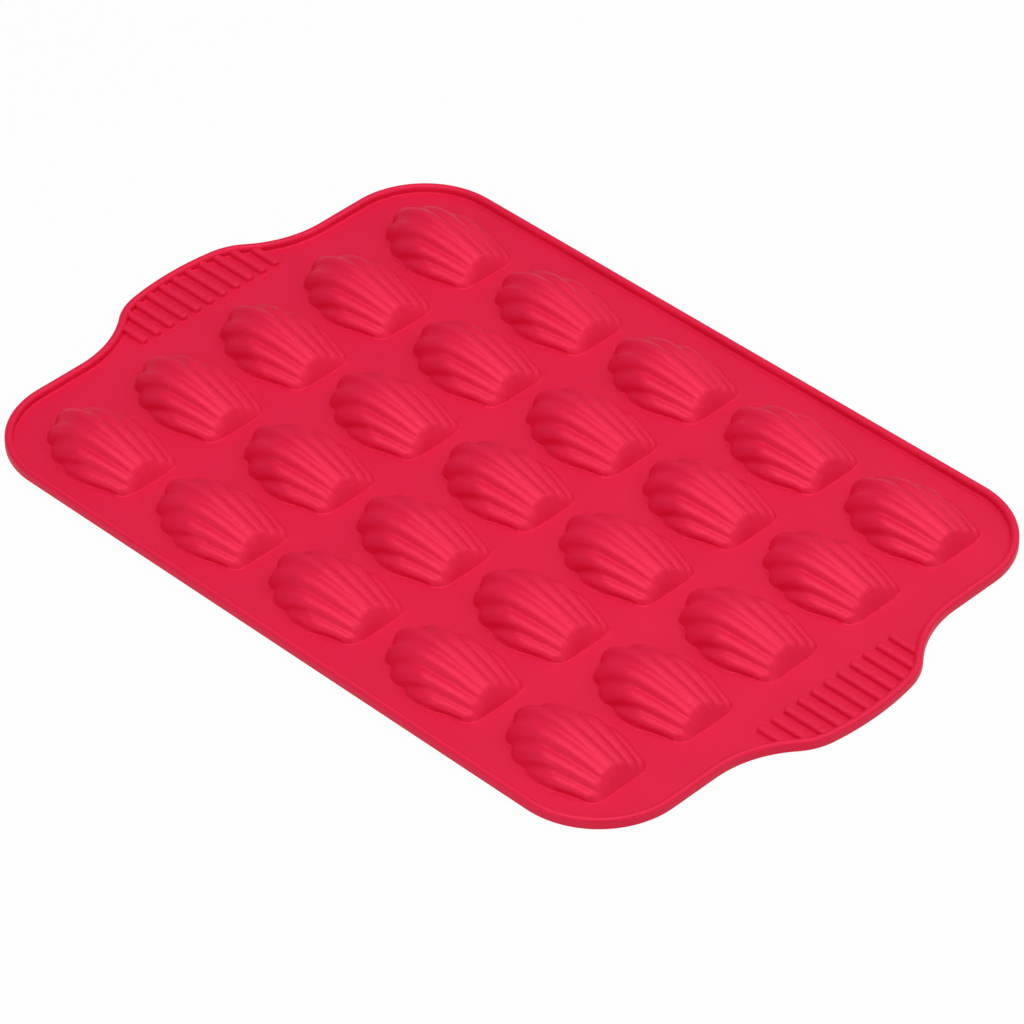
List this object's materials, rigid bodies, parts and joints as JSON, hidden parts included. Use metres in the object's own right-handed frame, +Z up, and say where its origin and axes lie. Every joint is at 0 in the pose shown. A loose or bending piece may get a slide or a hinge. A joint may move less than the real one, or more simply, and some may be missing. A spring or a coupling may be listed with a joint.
{
  "type": "madeleine pan",
  "caption": "Flexible silicone mini madeleine mould with ribbed shell cavities in rows, a flat web, a raised rim and a grip handle at each end, shown with its shells up",
  "frame": {"origin": "under the middle of the pan, on the flat baking face that it rests on", "axes": "+X along the rows, from the shells' fan ends to their flat ends; +Y across the pan; +Z up, the way the shells stand"},
  "size_m": [0.3322, 0.2182, 0.0124],
  "materials": {
    "silicone": "satin"
  },
  "bodies": {
    "root": {"web": "silicone", "left_handle": "silicone", "right_handle": "silicone", "near_rim": "silicone", "far_rim": "silicone", "left_rim": "silicone", "right_rim": "silicone", "left_grip_bars": "silicone", "right_grip_bars": "silicone", "cell_r1_c1": "silicone", "cell_r1_c2": "silicone", "cell_r1_c3": "silicone", "cell_r1_c4": "silicone", "cell_r1_c5": "silicone", "cell_r2_c1": "silicone", "cell_r2_c2": "silicone", "cell_r2_c3": "silicone", "cell_r2_c4": "silicone", "cell_r2_c5": "silicone", "cell_r3_c1": "silicone", "cell_r3_c2": "silicone", "cell_r3_c3": "silicone", "cell_r3_c4": "silicone", "cell_r3_c5": "silicone", "cell_r4_c1": "silicone", "cell_r4_c2": "silicone", "cell_r4_c3": "silicone", "cell_r4_c4": "silicone", "cell_r4_c5": "silicone", "cell_r5_c1": "silicone", "cell_r5_c2": "silicone", "cell_r5_c3": "silicone", "cell_r5_c4": "silicone", "cell_r5_c5": "silicone"}
  },
  "joints": []
}
